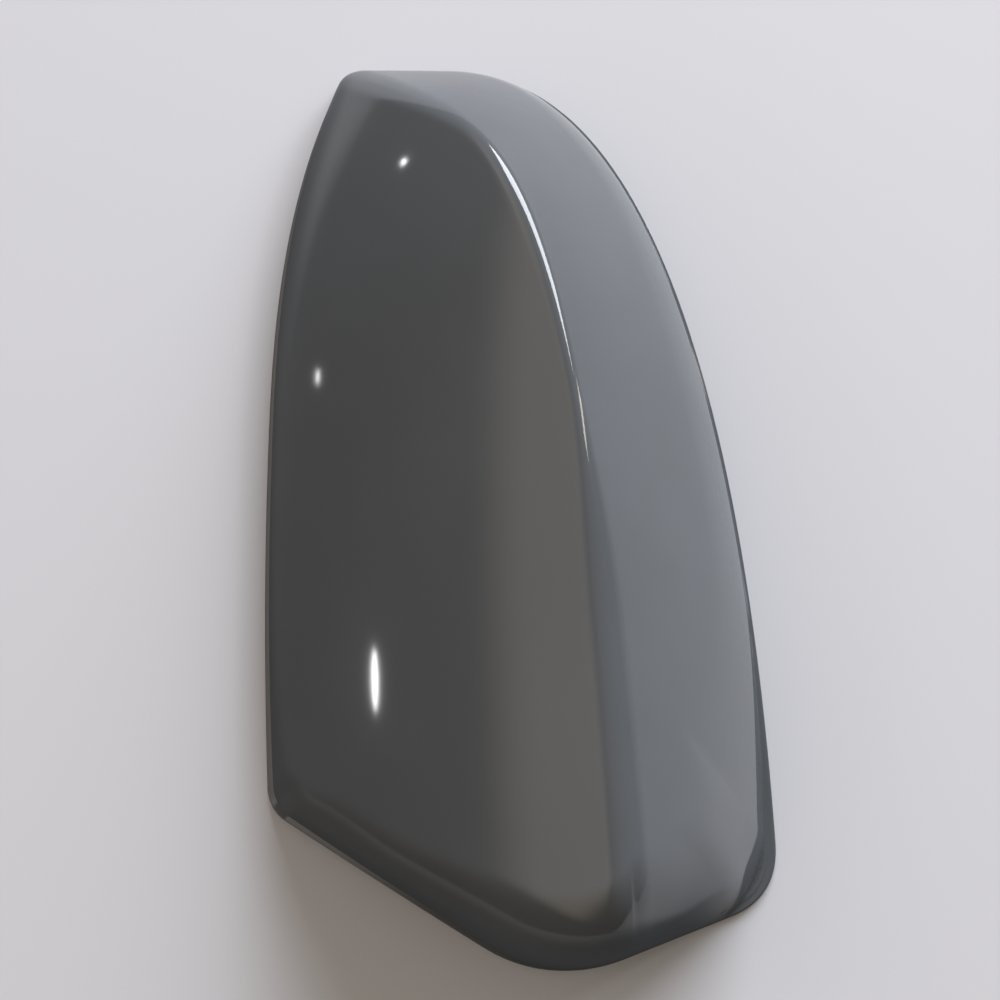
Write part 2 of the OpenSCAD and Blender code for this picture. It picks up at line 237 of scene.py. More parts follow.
WALL = 2.5
DRAFT = {"lower": 9, "foot": 30, "cut": 9, "end": 6, "upper": 19, "tip": 9}
ROLL = {"lower": 1, "end": 18, "upper": 3, "tip": 2}
ROLL_LEAST = 0.8
FOOT_RISE = 8
BEAD_OUT = 0.8
BEAD_H = 1.4
BEAD_STEP = 0.5
EDGE_T = 1.5
EDGE_H = 2.2

X_LEFT = -BODY_W / 2 + BEAD_OUT
Y_TOP = BODY_L / 2
CREASE_GAP_TIP = 7
CREASE_GAP_NOSE = 31
CREASE_EVEN = 0.3
print("the cover is", BODY_L, "mm long and", BODY_W, "mm wide")

# %% [markdown]
# ## The rule of the skin
# Two crowned faces make the cover: the big dark front face rises from the lower rail, the upper
# face rises from the upper rail, and they meet in a crease. The height of the skin over a point
# is the lower of the two, with the edge between them rounded, and near the rim the drafted rim
# wall takes over in the same way. A cage under a Subdivision Surface could come close, but it
# would round the crease alike everywhere. A rule can be measured, and one number changes it.
# The functions work on arrays of numbers and on node sockets alike, so the crease can be
# searched for in Python and the skin raised by Geometry Nodes.


# %% Faces
def lower_x(y):
    """The lower rail at a level."""
    out = higher_of((y - WIDEST_Y) / (Y_TOP - WIDEST_Y), 0.0)
    down = higher_of((WIDEST_Y - y) / (WIDEST_Y + Y_TOP), 0.0)
    return X_LEFT + TIP_TAPER * out**TIP_POWER + NOSE_TAPER * down**NOSE_POWER


def crowned(d, rise, radius, reach):
    """Height and rise of a face at a distance from its rail: crowned at first, then straight."""
    c = lower_of(d, reach)
    return d * rise - c * c / (2 * radius) - (d - c) * c / radius, rise - c / radius


def soft_min(a, na, b, nb, r):
    """The lower of two surfaces with a rounded edge. na and nb are their normals' rise."""
    pa = r - na * a
    pb = r - nb * b
    qa = na * na + nb * nb
    qb = 2 * (na * pa + nb * pb)
    qc = pa * pa + pb * pb - r * r
    rounded = (higher_of(qb * qb - 4 * qa * qc, 0.0) ** 0.5 - qb) / (2 * qa)
    far_b = is_less(b, a - r / na)
    far_a = is_less(a, b - r / nb) * (1 - far_b)
    return far_b * b + far_a * a + (1 - far_a - far_b) * rounded


def steepness(rise):
    """The upward part of the unit normal of a face with a rise."""
    return 1 / (rise * rise + 1) ** 0.5


# %% Roof
NOSE_DROP = NOSE_CORNER * math.sin(FOOT_SLANT) * math.sin(END_SLANT)
NOSE_DROP /= math.sin(FOOT_SLANT) + math.sin(END_SLANT)
NOSE = np.array([NOSE_X, -Y_TOP - NOSE_DROP])


def upper_share(y):
    v = higher_of((y - UPPER_STRAIGHT_Y) / (Y_TOP - UPPER_STRAIGHT_Y), 0.0)
    return higher_of(1 - v**UPPER_POWER, 0.0) ** (1 / UPPER_POWER)


WIDEST_UPPER_Y = NOSE[1] + math.tan(END_SLANT) * (BODY_W / 2 - NOSE_X) + END_CORNER
X_RIGHT = TIP_FLAT_X + (BODY_W / 2 - TIP_FLAT_X) / upper_share(WIDEST_UPPER_Y)


def upper_x(y):
    """The upper rail at a level."""
    return TIP_FLAT_X + (X_RIGHT - TIP_FLAT_X) * upper_share(y)


def upper_d(x, y):
    """Distance in from the upper rail."""
    a = X_RIGHT - TIP_FLAT_X
    b = Y_TOP - UPPER_STRAIGHT_Y
    q = UPPER_POWER
    u = higher_of((x - TIP_FLAT_X) / a, 0.0)
    v = higher_of((y - UPPER_STRAIGHT_Y) / b, 0.0)
    g = (u**q + v**q) ** (1 / q)
    steep = ((u ** (q - 1) / a) ** 2 + (v ** (q - 1) / b) ** 2) ** 0.5
    return (1 - g) * g ** (q - 1) / steep


def crease_r(y):
    """Rounding of the crease: crisp in the middle, soft towards the inboard end and the tip."""
    soft = (CREASE_SOFT - CREASE_CRISP) * smooth01((CRISP_LOW_Y - y) / CREASE_FADE)
    tip = (CREASE_TIP - CREASE_CRISP) * smooth01((y - CRISP_HIGH_Y) / (Y_TOP - CRISP_HIGH_Y))
    return CREASE_CRISP + soft + tip


def both_faces(x, y):
    front = crowned(x - lower_x(y), FRONT_RISE, FRONT_CROWN, BODY_W)
    rise = mix(UPPER_END_RISE, UPPER_TIP_RISE, clamp01((y + Y_TOP) / (2 * Y_TOP)))
    upper = crowned(upper_d(x, y), rise, UPPER_CROWN, UPPER_REACH)
    return front, upper


def roof(x, y, skin):
    """Height of the two faces and their normals' rise, a skin's thickness below the surface."""
    front, upper = both_faces(x, y)
    nf = steepness(front[1])
    nu = steepness(upper[1])
    zf = front[0] + FRONT_H - skin / nf
    zu = upper[0] + UPPER_H - skin / nu
    r = higher_of(crease_r(y) - skin / 2, CREASE_LEAST)
    return soft_min(zf, nf, zu, nu, r), mix(nu, nf, smooth01((zu - zf) / FACE_BLEND + 0.5))


def skin_height(x, y, inset, draft, roll, foot, low, skin):
    """Height of a skin at a point that lies a distance in from a step of the rim."""
    top, rise = roof(x, y, skin)
    if isinstance(draft, Value):
        slope, lean = draft.math("TANGENT", draft), draft.math("SINE", draft)
    else:
        slope, lean = np.tan(draft), np.sin(draft)
    wall_top = foot + inset / slope - skin / lean
    rolled = soft_min(top, rise, wall_top, lean, higher_of(roll - skin, ROLL_LEAST))
    return higher_of(foot + low, rolled)


def crease_x(y):
    """The crease at a level: both faces are equally high there."""
    a, b = lower_x(y), upper_x(y)
    for _ in range(30):
        m = (a + b) / 2
        front, upper = both_faces(m, y)
        rising = front[0] + FRONT_H < upper[0] + UPPER_H
        a, b = np.where(rising, m, a), np.where(rising, b, m)
    return (a + b) / 2


middle = np.array([0.0])
middle_top, _ = roof(crease_x(middle), middle, 0.0)
print("height of the crease half-way along:", round(float(middle_top[0]), 2), "mm")

# %% [markdown]
# ## The rim
# The outline is walked once round in steps: a flat tip, the bowed lower rail, the slanting cut
# that clears the mirror's foot, the nose, the slanting inboard end and the long curved upper
# rail. A Bezier curve object could draw the same outline, but the points of a curve can't be
# told where to stand, and here each point starts one line of the net. Each stretch has a number
# of steps, and `FINE` multiplies them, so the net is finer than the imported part's.

# %% Rim
FINE = 5
STEPS_LOWER = {"tip": 3, "rail": 20, "foot": 6, "cut": 8, "nose": 7}
STEPS_UPPER = {"tip": 3, "top": 3, "rail": 23, "corner": 7, "end": 6, "nose": 2}
HALF = sum(STEPS_LOWER.values())
RIM = 2 * HALF


def bezier2(a, b, c, t):
    t = np.asarray(t)[..., None]
    return mix(mix(a, b, t), mix(b, c, t), t)


def stretch(steps, closed=False):
    count = steps * FINE
    return np.arange(count + closed) / count


def point(x, y):
    return np.array([float(x), float(y)])


def corner(slant, start_x, rail):
    """The sharp corner where a slanting end meets a rail."""
    y = NOSE[1] + math.tan(slant) * abs(start_x - NOSE_X)
    for _ in range(4):
        y = NOSE[1] + math.tan(slant) * abs(float(rail(y)) - NOSE_X)
    return point(rail(y), y)


foot_pt = corner(FOOT_SLANT, X_LEFT, lower_x)
end_pt = corner(END_SLANT, X_RIGHT, upper_x)
tip_pt = point(lower_x(Y_TOP), Y_TOP)
tip_a = point(lower_x(Y_TOP - TIP_CORNER), Y_TOP - TIP_CORNER)
tip_b = tip_pt + point(TIP_CORNER, 0)
foot_a = point(lower_x(foot_pt[1] + FOOT_CORNER), foot_pt[1] + FOOT_CORNER)
foot_b = foot_pt + FOOT_CORNER * point(math.cos(FOOT_SLANT), -math.sin(FOOT_SLANT))
nose_a = NOSE + NOSE_CORNER * point(-math.cos(FOOT_SLANT), math.sin(FOOT_SLANT))
nose_b = NOSE + NOSE_CORNER * point(math.cos(END_SLANT), math.sin(END_SLANT))
end_a = end_pt - END_CORNER * point(math.cos(END_SLANT), math.sin(END_SLANT))
end_b = point(upper_x(end_pt[1] + END_CORNER), end_pt[1] + END_CORNER)
print("corners of the outline:", foot_pt.round(1), NOSE.round(1), end_pt.round(1), tip_pt.round(1))

# %% The two halves of the rim
crease_top = Y_TOP - CREASE_GAP_TIP
crease_low = -Y_TOP + CREASE_GAP_NOSE
split_x = 2 * crease_x(np.array(crease_low)) - crease_x(np.array(crease_low + CREASE_GAP_NOSE))
nose_t = np.linspace(0, 1, 2001)
nose_line = bezier2(nose_a, NOSE, nose_b, nose_t)
split = float(np.interp(split_x, nose_line[:, 0], nose_t))

rail_y = mix(tip_a[1], foot_a[1], stretch(STEPS_LOWER["rail"]))
lower_half = np.concatenate([
    bezier2(tip_b, tip_pt, tip_a, 0.5 + 0.5 * stretch(STEPS_LOWER["tip"])),
    np.stack([lower_x(rail_y), rail_y], 1),
    bezier2(foot_a, foot_pt, foot_b, stretch(STEPS_LOWER["foot"])),
    mix(foot_b, nose_a, stretch(STEPS_LOWER["cut"])[:, None]),
    bezier2(nose_a, NOSE, nose_b, split * stretch(STEPS_LOWER["nose"], True)),
])
start_v = (end_b[1] - UPPER_STRAIGHT_Y) / (Y_TOP - UPPER_STRAIGHT_Y)
turn = mix(math.pi / 2, math.asin(start_v ** (UPPER_POWER / 2)), stretch(STEPS_UPPER["rail"]))
upper_rail = np.stack([
    TIP_FLAT_X + (X_RIGHT - TIP_FLAT_X) * np.abs(np.cos(turn)) ** (2 / UPPER_POWER),
    UPPER_STRAIGHT_Y + (Y_TOP - UPPER_STRAIGHT_Y) * np.sin(turn) ** (2 / UPPER_POWER),
], 1)
upper_half = np.concatenate([
    bezier2(tip_a, tip_pt, tip_b, 0.5 + 0.5 * stretch(STEPS_UPPER["tip"])),
    mix(tip_b, point(TIP_FLAT_X, Y_TOP), stretch(STEPS_UPPER["top"])[:, None]),
    upper_rail,
    bezier2(end_b, end_pt, end_a, stretch(STEPS_UPPER["corner"])),
    mix(end_a, nose_b, stretch(STEPS_UPPER["end"])[:, None]),
    bezier2(nose_b, NOSE, nose_a, (1 - split) * stretch(STEPS_UPPER["nose"], True)),
])
half_count = HALF * FINE
rim_count = RIM * FINE
rim = np.concatenate([lower_half, upper_half[1:-1][::-1]])
along = np.roll(rim, -1, 0) - np.roll(rim, 1, 0)
along /= np.linalg.norm(along, axis=1)[:, None]
inward = np.stack([-along[:, 1], along[:, 0]], 1)
print("rim:", len(rim), "points, split of the nose at", round(split, 3))

# %% [markdown]
# ## What changes round the rim
# The rim wall leans differently at the rails, at the foot corner and at the ends, and it rolls
# over into the faces above it tightly along the rails and wide at the inboard end. Each of
# these is read from a few stops, and then evened out a little, as a mould maker would, so
# that no highlight shows a kink. The stops count in steps of the outline. `dull_coat` is for
# the paint: it is 1 along the stretches where the coat on the rim wall thins.

# %% Draft, roll, bead and arch
at_foot = STEPS_LOWER["tip"] + STEPS_LOWER["rail"] + STEPS_LOWER["foot"] / 2
at_cut = at_foot + (HALF - at_foot) / 2
at_corner = HALF + STEPS_UPPER["nose"] + STEPS_UPPER["end"] + STEPS_UPPER["corner"] / 2
at_upper = at_corner + STEPS_UPPER["corner"]
at_shoulder = RIM - STEPS_UPPER["tip"] - STEPS_UPPER["top"] - 5
at_top = RIM - STEPS_UPPER["tip"] - STEPS_UPPER["top"]
tip_end = STEPS_LOWER["tip"]
nose_start = HALF - STEPS_LOWER["nose"]
rim_step = np.arange(rim_count) / FINE


def evened(values, width=1.2):
    """Values round the closed rim, averaged over a few steps."""
    reach = np.arange(-4 * FINE, 4 * FINE + 1)
    weights = np.exp(-((reach / FINE / width) ** 2))
    return sum(w * np.roll(values, k) for k, w in zip(reach, weights)) / weights.sum()


def along_rim(*stops):
    return np.interp(rim_step, [s[0] for s in stops], [s[1] for s in stops])


draft = np.radians(evened(along_rim(
    (0, DRAFT["tip"]), (tip_end + 3, DRAFT["lower"]), (at_foot - 7, DRAFT["lower"]),
    (at_foot, DRAFT["foot"]), (at_foot + 6, DRAFT["cut"]), (HALF, DRAFT["end"]),
    (at_corner - 6, DRAFT["end"]), (at_corner + 2, DRAFT["upper"]), (at_shoulder, DRAFT["upper"]),
    (at_top, DRAFT["tip"]), (RIM, DRAFT["tip"]),
)))
roll = evened(along_rim(
    (0, ROLL["tip"]), (tip_end + 3, ROLL["lower"]), (at_foot, ROLL["lower"]),
    (at_cut, ROLL["end"] / 2), (HALF, ROLL["end"]), (at_corner, ROLL["end"]),
    (at_upper, ROLL["upper"]), (RIM - 8, ROLL["upper"]), (RIM, ROLL["tip"]),
))
bead_share = evened(along_rim(
    (0, 0), (tip_end + 2, 1), (nose_start, 1), (nose_start + 4, 0), (RIM, 0),
), 0.6)
dull_coat = evened(along_rim(
    (0, 0), (tip_end + 2, 1), (at_corner - 5, 1), (at_corner - 1, 0), (RIM, 0),
))
arch = np.clip((rim_step - at_foot + 2) / (HALF - at_foot + 2), 0, 1)
foot_z = FOOT_RISE * (1 - np.cos(2 * math.pi * arch)) / 2
print("draft from", np.degrees(draft.min()).round(1), "to", np.degrees(draft.max()).round(1), "degrees")

# %% [markdown]
# ## The flat net
# The skin starts as a net in plan: from each point of the rim a line runs to the crease, and the
# rows lie closest together where the skin bends most, at the shoulder and at the crease. Only
# the rim's own section, with its bead outside and its thinned edge inside, gets its heights
# here. All the other heights come from the rule, in the next step. A grid cut to the outline
# would be simpler, but its steps would show along the crease and the rim.

# %% Crease and lines of the net
ROWS_OUT = 60
ROWS_IN = 34
LOW_SHARE = 0.4
LONG_LINE = 60

half_step = np.arange(half_count + 1) / half_count
halfway = np.clip(((lower_half[:, 1] + upper_half[:, 1]) / 2 + Y_TOP) / (2 * Y_TOP), 0, 1)
crease_y = mix(crease_low, crease_top, mix(halfway, 1 - half_step, CREASE_EVEN))
crease = np.stack([crease_x(crease_y), crease_y], 1)
ridge_of = np.minimum(np.arange(rim_count), rim_count - np.arange(rim_count))


def inset_of(points):
    return ((points - rim) * inward).sum(1)


def lines_from(skin, low):
    """Where the lines of a skin start, and the share of each at which the wall meets the faces."""
    start = rim + (skin / np.cos(draft) + low * np.tan(draft))[:, None] * inward
    a, b = np.full(rim_count, 0.01), np.full(rim_count, 0.9)
    for _ in range(20):
        m = (a + b) / 2
        p = mix(start, crease[ridge_of], m[:, None])
        wall_top = foot_z + inset_of(p) / np.tan(draft) - skin / np.sin(draft)
        below = wall_top < roof(p[:, 0], p[:, 1], skin)[0]
        a, b = np.where(below, m, a), np.where(below, b, m)
    return start, (a + b) / 2


def net_row(u, start, shoulder):
    """One row of the net, u from 0 at the rim to 1 at the crease."""
    length = np.linalg.norm(crease[ridge_of] - start, axis=1)
    v = (u - LOW_SHARE) / (1 - LOW_SHARE)
    if v < 0:
        t = shoulder * (1 - (1 - u / LOW_SHARE) ** 1.5)
    else:
        even = np.clip(length / LONG_LINE, 0, 1)
        t = shoulder + (1 - shoulder) * mix(v, (1 - math.cos(math.pi * v)) / 2, even)
    return mix(start, crease[ridge_of], t[:, None])


# %% Rows of the net
EDGE_ROUND = 0.3
BRIM_PAST = 1.5
BRIM_FADE = 5
rows = []


def add_row(points, inset, height, skin, low):
    """Keeps a row. A height of None is left to the rule. `brim` is 1 on the rim wall's outside."""
    fixed = np.zeros(rim_count) if height is None else foot_z + height
    outer_wall = 1 - smooth01((inset - wall_inset - BRIM_PAST) / BRIM_FADE)
    rows.append({
        "xy": points, "z": fixed, "inset": inset, "raised": float(height is None),
        "skin": skin, "low": low,
        "brim": outer_wall * (skin == 0 and height is None),
    })


def add_section(inset, height):
    inset = np.zeros(rim_count) + inset
    add_row(rim + inset[:, None] * inward, inset, height, 0.0, 0.0)


start, shoulder = lines_from(0.0, BEAD_H + BEAD_STEP)
wall_inset = inset_of(mix(start, crease[ridge_of], shoulder[:, None]))
for k in range(1, ROWS_OUT):
    points = net_row(1 - k / ROWS_OUT, start, shoulder)
    add_row(points, inset_of(points), None, 0.0, BEAD_H + BEAD_STEP)

# %% The rim's own section, over the bead, round the edge and up inside
EDGE_TURN, BEAD_TURN = 0.1, 0.35
STEP_RISE, STEP_IN = 0.3, 0.22
NOTCH_RISE, NOTCH_IN = 0.06, 0.18
slope = np.tan(draft)
out = BEAD_OUT * bead_share
bead_round = EDGE_TURN + BEAD_TURN * bead_share
add_section((BEAD_H + BEAD_STEP) * slope, BEAD_H + BEAD_STEP)
add_section((BEAD_H + STEP_RISE) * slope + STEP_IN * bead_share, BEAD_H + STEP_RISE)
add_section(BEAD_H * slope * (1 - bead_share) + NOTCH_IN * bead_share, BEAD_H + NOTCH_RISE)
for turn_deg in (90, 60, 30, 0):
    a = math.radians(turn_deg)
    add_section(bead_round * (1 - math.cos(a)) - out, BEAD_H - bead_round * (1 - math.sin(a)))
for turn_deg in (0, -45, -90):
    a = math.radians(turn_deg)
    add_section(EDGE_ROUND * (1 - math.cos(a)) - out, EDGE_ROUND * (1 + math.sin(a)))
for turn_deg in (-90, -45, 0):
    a = math.radians(turn_deg)
    add_section(EDGE_T - EDGE_ROUND * (1 - math.cos(a)), EDGE_ROUND * (1 + math.sin(a)))
add_section(EDGE_T + EDGE_H * slope, EDGE_H)

# %% Rows of the inside
start, shoulder = lines_from(WALL, EDGE_H)
add_row(start, inset_of(start), EDGE_H, WALL, EDGE_H)
for k in range(1, ROWS_IN):
    points = net_row(k / ROWS_IN, start, shoulder)
    add_row(points, inset_of(points), None, WALL, EDGE_H)
print("net:", len(rows), "rows of", rim_count, "points")

# %% Net as a mesh with its facts on the points
INSIDE_FADE = 9.0


def flat_net():
    """The rows and the two copies of the crease as one closed mesh, still flat in plan."""
    ring = np.arange(rim_count)
    low_outside, low_inside = BEAD_H + BEAD_STEP, EDGE_H
    ridge_inset = inset_of(crease[ridge_of])[: half_count + 1]
    xy = np.concatenate([r["xy"] for r in rows] + [crease, crease])
    z = np.concatenate([r["z"] for r in rows] + [np.zeros(2 * (half_count + 1))])

    def fact(of_row, outside, inside):
        per_row = [np.zeros(rim_count) + of_row(r) for r in rows]
        per_row += [np.zeros(half_count + 1) + at_crease for at_crease in (outside, inside)]
        return np.concatenate(per_row)

    def fact_of_line(values):
        """A fact that is the same all along each line of the net."""
        at_crease = values[: half_count + 1]
        return fact(lambda r: values, at_crease, at_crease)

    facts = {
        "inset": fact(lambda r: r["inset"], ridge_inset, ridge_inset),
        "draft": fact_of_line(draft),
        "roll": fact_of_line(roll),
        "foot": fact_of_line(foot_z),
        "dull": fact_of_line(dull_coat),
        "low": fact(lambda r: r["low"], low_outside, low_inside),
        "skin": fact(lambda r: r["skin"], 0.0, WALL),
        "raised": fact(lambda r: r["raised"], 1.0, 1.0),
        "brim": fact(lambda r: r["brim"], 0.0, 0.0),
        "inside": fact(lambda r: r["skin"] / WALL * np.clip(r["inset"] / INSIDE_FADE, 0, 1), 0.0, 1.0),
    }
    faces = []
    for k in range(len(rows) - 1):
        a, b = k * rim_count + ring, k * rim_count + np.roll(ring, -1)
        faces.append(np.stack([a, b, b + rim_count, a + rim_count], 1))
    outer, inner = len(rows) * rim_count, len(rows) * rim_count + half_count + 1
    for i in range(rim_count):
        j = (i + 1) % rim_count
        a, b = int(ridge_of[i]), int(ridge_of[j])
        last = (len(rows) - 1) * rim_count
        faces.append(np.array([[outer + a, outer + b, j, i]]))
        faces.append(np.array([[inner + b, inner + a, last + i, last + j]]))
    facing_out = np.concatenate(faces)[:, ::-1]
    mesh = bpy.data.meshes.new("cover_net")
    mesh.from_pydata(np.column_stack([xy, z]).tolist(), [], facing_out.tolist())
    for name, values in facts.items():
        attribute = mesh.attributes.new(name, "FLOAT", "POINT")
        attribute.data.foreach_set("value", values.astype(np.float32))
    mesh.update()
    return mesh


net = flat_net()
print("flat net:", len(net.vertices), "points and", len(net.polygons), "faces")

# %% [markdown]
# ## Raising the skin
# The cover is a main piece whose shape follows a rule, so Geometry Nodes raise it. The tree reads
# each point's place in plan and its facts, works out the height with the same functions as
# above, and moves the point there. Python alone could set the same heights, but a tree keeps
# the slopes and roundings as inputs that a designer can turn. The flat net keeps its own
# heights where a point isn't marked as raised.


# %% Tools for the trees
SHARP_ANGLE = math.radians(40)


def new_tree(name, inputs):
    """A Geometry Nodes tree with a Geometry input and output and named inputs with values."""
    tree = bpy.data.node_groups.new(name, "GeometryNodeTree")
    tree.interface.new_socket(name="Geometry", in_out="INPUT", socket_type="NodeSocketGeometry")
    for label, value in inputs.items():
        kind = "NodeSocketMaterial" if label == "Material" else "NodeSocketFloat"
        socket = tree.interface.new_socket(name=label, in_out="INPUT", socket_type=kind)
        if kind == "NodeSocketFloat":
            socket.default_value = value
    tree.interface.new_socket(name="Geometry", in_out="OUTPUT", socket_type="NodeSocketGeometry")
    graph = Graph(tree)
    entry = tree.nodes.new("NodeGroupInput")
    given = {socket.name: Value(graph, socket) for socket in entry.outputs if socket.name}
    return graph, given


def finish_tree(graph, geometry, material):
    """Ends a tree as the export needs it: real geometry with a material."""
    real = graph.add("GeometryNodeRealizeInstances", None, geometry)
    painted = graph.add("GeometryNodeSetMaterial", None, real, Material=material)
    graph.tree.links.new(painted.socket, graph.tree.nodes.new("NodeGroupOutput").inputs[0])


def fact_on_points(graph, name):
    return graph.add("GeometryNodeInputNamedAttribute", {"data_type": "FLOAT"}, name)


def grown(name, mesh, graph, inputs, edge_round=0.0):
    """The mesh that a tree makes of a base mesh, as a plain object at the origin."""
    base = bpy.data.objects.new(name, mesh)
    bpy.context.scene.collection.objects.link(base)
    modifier = base.modifiers.new(name, "NODES")
    modifier.node_group = graph.tree
    for item in graph.tree.interface.items_tree:
        if item.in_out == "INPUT" and item.name in inputs:
            modifier[item.identifier] = inputs[item.name]
    if edge_round:
        bevel = base.modifiers.new("edges", "BEVEL")
        bevel.width, bevel.segments, bevel.angle_limit = edge_round * MM, 2, SHARP_ANGLE
    bpy.context.view_layer.update()
    evaluated = base.evaluated_get(bpy.context.evaluated_depsgraph_get())
    result = bpy.data.meshes.new_from_object(evaluated)
    base.modifiers.clear()
    base.data = result
    result.materials.clear()
    result.materials.append(inputs["Material"])
    result.name = name
    print(name + ":", len(result.vertices), "points and", len(result.polygons), "faces")
    return base


# %% Materials by name
paint = bpy.data.materials.new("grey_paint")

# %% Skin
SKIN_INPUTS = {
    "Front slope": FRONT_RISE, "Front crown": FRONT_CROWN, "Upper crown": UPPER_CROWN,
    "Crease crisp": CREASE_CRISP, "Crease soft": CREASE_SOFT, "Crease tip": CREASE_TIP,
    "Material": paint,
}
graph, given = new_tree("raise_the_skin", SKIN_INPUTS)

# The rule reads six values by name. While the tree is built, the names stand for its inputs.
numbers = (FRONT_RISE, FRONT_CROWN, UPPER_CROWN, CREASE_CRISP, CREASE_SOFT, CREASE_TIP)
FRONT_RISE, FRONT_CROWN, UPPER_CROWN, CREASE_CRISP, CREASE_SOFT, CREASE_TIP = (
    given[label] for label in SKIN_INPUTS if label != "Material"
)

place = graph.add("GeometryNodeInputPosition")
split_xyz = graph.add("ShaderNodeSeparateXYZ", None, place)
x, y, z = (Value(graph, socket) for socket in split_xyz.socket.node.outputs)
FACTS_OF_THE_RULE = ("inset", "draft", "roll", "foot", "low", "skin")
ruled = skin_height(x, y, *(fact_on_points(graph, name) for name in FACTS_OF_THE_RULE))
height = mix(z, ruled, fact_on_points(graph, "raised"))
moved = graph.add("ShaderNodeCombineXYZ", None, x * MM, y * MM, height * MM)
skin = graph.add("GeometryNodeSetPosition", None, given["Geometry"], Position=moved)
smooth = graph.add("GeometryNodeSetShadeSmooth", None, skin)
finish_tree(graph, smooth, given["Material"])
FRONT_RISE, FRONT_CROWN, UPPER_CROWN, CREASE_CRISP, CREASE_SOFT, CREASE_TIP = numbers
cover = grown("cover_shell", net, graph, SKIN_INPUTS)
cover.data.set_sharp_from_angle(angle=SHARP_ANGLE)
highest = max(v.co.z for v in cover.data.vertices) / MM
print("tree:", len(graph.tree.nodes), "nodes; highest point", round(highest, 2), "mm")

# %% [markdown]
# ## Ribs, webs and hooks
# Inside, the shell carries what lets it snap on to the mirror housing: seven barbed hooks on
# paired webs, three ribs across the front face and two locating pins. All of these plates are
# flat. A Boolean could cut a block to the skin, but its edges come out ragged. So each plate is
# drawn as an outline that follows the skin, and one Geometry Nodes tree gives every outline
# its thickness. The plates end in the middle of the skin, so that they are one with it.

# %% Sizes of the plates
HOOK_IN = 8
HOOK_W = 11
HOOK_T = 1.8
BARB_OUT = 1.6
BARB_H = 2.6
HOOK_LOW = 2.5
RIB_T = 1.4
RIB_H = 5
RIB_PITCH = 40
RIB_GAP = 15
WEB_STEPS = 10
PIN_D = 5
PIN_L = 9
PIN_ROOT = 6.7
PIN_BOSS = 1
PIN_WEB = 13
PIN_IN = 38
PIN_FROM_TIP = 58
PIN_FROM_NOSE = 67


def skin_at(place, step, skin=WALL / 2):
    """Height of the skin, by default of its middle, at a place that belongs to a step of the rim."""
    inset = float((place - rim[step]) @ inward[step])
    facts = (draft[step], roll[step], foot_z[step], EDGE_H, skin)
    return float(skin_height(place[0], place[1], inset, *facts))


def nearest_step(place):
    return int(np.argmin(np.linalg.norm(rim - place, axis=1)))


def upright(place, heading, outline):
    """The corners of an upright plate: an outline of (distance along, height) pairs."""
    return [(*(place + s * heading), z) for s, z in outline]


def web(place, heading, a, b, low, step=None):
    """An outline that follows the skin from a to b and is level below."""
    ends = np.linspace(a, b, WEB_STEPS)
    tops = [place + s * heading for s in ends]
    edge = [(s, skin_at(p, nearest_step(p) if step is None else step)) for s, p in zip(ends, tops)]
    return upright(place, heading, [(b, low), (a, low)] + edge)


def rib(place, heading, a, b):
    ends = np.linspace(a, b, WEB_STEPS)
    edge = [(s, skin_at(place + s * heading, nearest_step(place + s * heading))) for s in ends]
    return upright(place, heading, edge + [(s, z - RIB_H) for s, z in edge[::-1]])


# %% Outlines of the hooks
HOOK_STEPS = [
    tip_end + 5, tip_end + 11, tip_end + 17, at_cut, at_top - 8, at_top - 14,
    at_top - STEPS_UPPER["rail"] + 3,
]
thin_plates, tabs, barbs = [], [], []


def web_start(step, height):
    """Distance in from the rim at which the middle of the skin has risen to a height."""
    a, b = 0.0, float(HOOK_IN)
    for _ in range(14):
        m = (a + b) / 2
        a, b = (a, m) if skin_at(rim[step] + m * inward[step], step) >= height else (m, b)
    return b


def add_hook(step):
    ahead, aside = inward[step], np.array([-inward[step][1], inward[step][0]])
    low = foot_z[step] + HOOK_LOW
    face, middle = HOOK_IN + HOOK_T, HOOK_IN + HOOK_T / 2
    quarter = rim[step] + (HOOK_IN + HOOK_T / 4) * ahead
    ends = np.linspace(-HOOK_W / 2, HOOK_W / 2, WEB_STEPS)
    edge = [(s, skin_at(quarter + s * aside, step)) for s in ends]
    tab = [(HOOK_W / 2, low), (-HOOK_W / 2, low)] + edge
    tabs.append(upright(rim[step] + middle * ahead, aside, tab))
    barb_top = low + BARB_H + BARB_OUT / 2
    barb = [(middle, low), (face, low), (face + BARB_OUT, low + BARB_H)]
    barb += [(face, barb_top), (middle, barb_top)]
    barbs.append(upright(rim[step], ahead, barb))
    web_low = low + BARB_H + HOOK_T
    start = web_start(step, web_low)
    for side in (-1, 1):
        foot = rim[step] + side * (HOOK_W - RIB_T) / 2 * aside
        thin_plates.append(web(foot, ahead, start, face, web_low, step))


hook_points = [int(round(step * FINE)) for step in HOOK_STEPS]
for step in hook_points:
    add_hook(step)
print(len(tabs), "hooks at", rim[hook_points].round(0).tolist())

# %% Outlines of the ribs and of the pins' webs
X_AXIS, Y_AXIS = np.array([1.0, 0.0]), np.array([0.0, 1.0])
for k in (-1, 0, 1):
    level = WIDEST_Y + k * RIB_PITCH
    left, right = float(lower_x(level)) + RIB_GAP, float(crease_x(np.array(level))) - RIB_GAP
    thin_plates.append(rib(np.array([left, level]), X_AXIS, 0, right - left))

